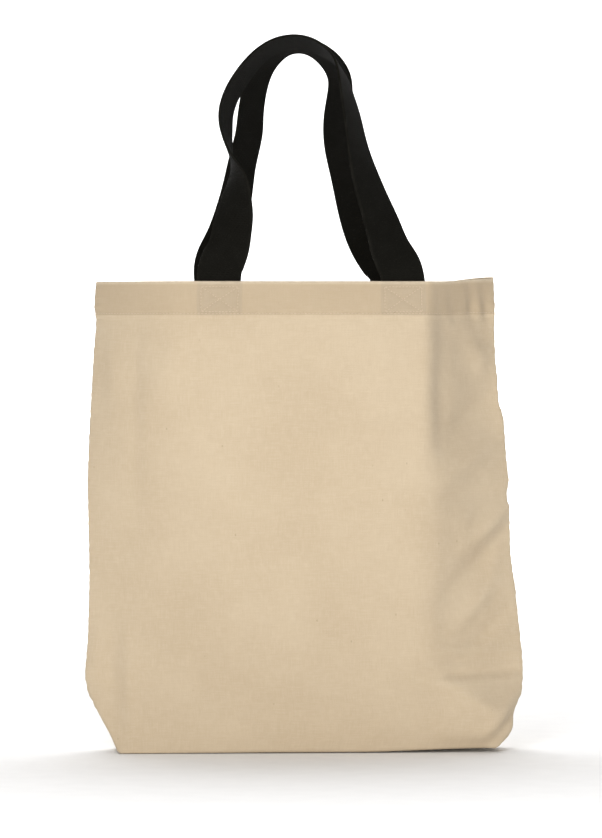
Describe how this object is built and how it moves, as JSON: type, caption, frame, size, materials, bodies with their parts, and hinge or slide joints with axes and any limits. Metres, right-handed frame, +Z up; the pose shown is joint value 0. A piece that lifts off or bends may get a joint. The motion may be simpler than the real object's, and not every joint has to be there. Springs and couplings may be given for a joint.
{
  "type": "tote bag",
  "caption": "Open-topped canvas shopping bag with a boxed base, a deep stitched hem and two black webbing handles that fold out.",
  "frame": {"origin": "centre of the base on the ground", "axes": "+Z up from the base to the handles, -Y out of the front panel, +X to the right seen from the front"},
  "size_m": [0.38, 0.1128, 0.622],
  "materials": {
    "canvas": "natural unbleached plain-weave cotton canvas, matte",
    "hem_canvas": "the same canvas, turned in as a second layer",
    "seam_canvas": "the same canvas, two raw edges pressed together",
    "overlock_thread": "natural cotton thread over a raw edge",
    "stitch_thread": "natural cotton thread in a lock stitch",
    "webbing": "black ribbed cotton webbing, matte"
  },
  "bodies": {
    "bag": {"front_panel": "canvas", "back_panel": "canvas", "base_panel": "canvas", "front_hem": "hem_canvas", "back_hem": "hem_canvas", "left_side_seam": "seam_canvas", "right_side_seam": "seam_canvas", "front_base_seam": "seam_canvas", "back_base_seam": "seam_canvas", "left_base_end_seam": "seam_canvas", "right_base_end_seam": "seam_canvas", "left_side_overlock": "overlock_thread", "right_side_overlock": "overlock_thread", "front_hem_stitching": "stitch_thread", "back_hem_stitching": "stitch_thread", "front_left_handle_end": "webbing", "front_right_handle_end": "webbing", "back_left_handle_end": "webbing", "back_right_handle_end": "webbing", "front_left_cross_stitch": "stitch_thread", "front_right_cross_stitch": "stitch_thread", "back_left_cross_stitch": "stitch_thread", "back_right_cross_stitch": "stitch_thread"},
    "front_handle_loop": {"front_handle": "webbing"},
    "back_handle_loop": {"back_handle": "webbing"}
  },
  "joints": [
    {"name": "front_handle_flop", "type": "hinge", "parent": "bag", "child": "front_handle_loop", "pos_m": [0, -0.0552, 0.407], "axis": [1, 0, 0], "range_deg": [0, 176]},
    {"name": "back_handle_flop", "type": "hinge", "parent": "bag", "child": "back_handle_loop", "pos_m": [0, 0.0552, 0.407], "axis": [-1, 0, 0], "range_deg": [0, 176]}
  ]
}
